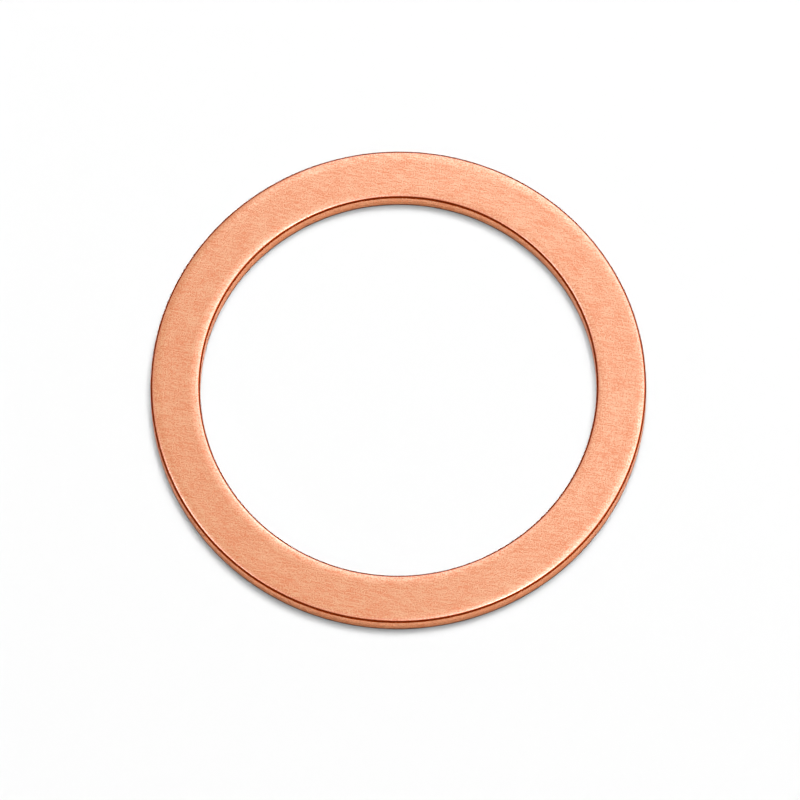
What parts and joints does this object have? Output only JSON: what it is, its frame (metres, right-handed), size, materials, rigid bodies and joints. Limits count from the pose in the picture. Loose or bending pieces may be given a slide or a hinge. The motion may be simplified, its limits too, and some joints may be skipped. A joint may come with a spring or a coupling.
{
  "type": "copper crush washer",
  "caption": "Flat solid copper sealing ring with gently rolled upper edges, crushed between a screw's shoulder and a port face to make a leak-tight joint.",
  "frame": {"origin": "on the bore's axis, in the plane of the lower sealing face", "axes": "+Z along the bore's axis, from the lower sealing face to the upper one; X and Y lie in the lower face"},
  "size_m": [0.03, 0.03, 0.0015],
  "materials": {
    "copper": "satin annealed copper"
  },
  "bodies": {
    "root": {"washer": "copper"}
  },
  "joints": []
}
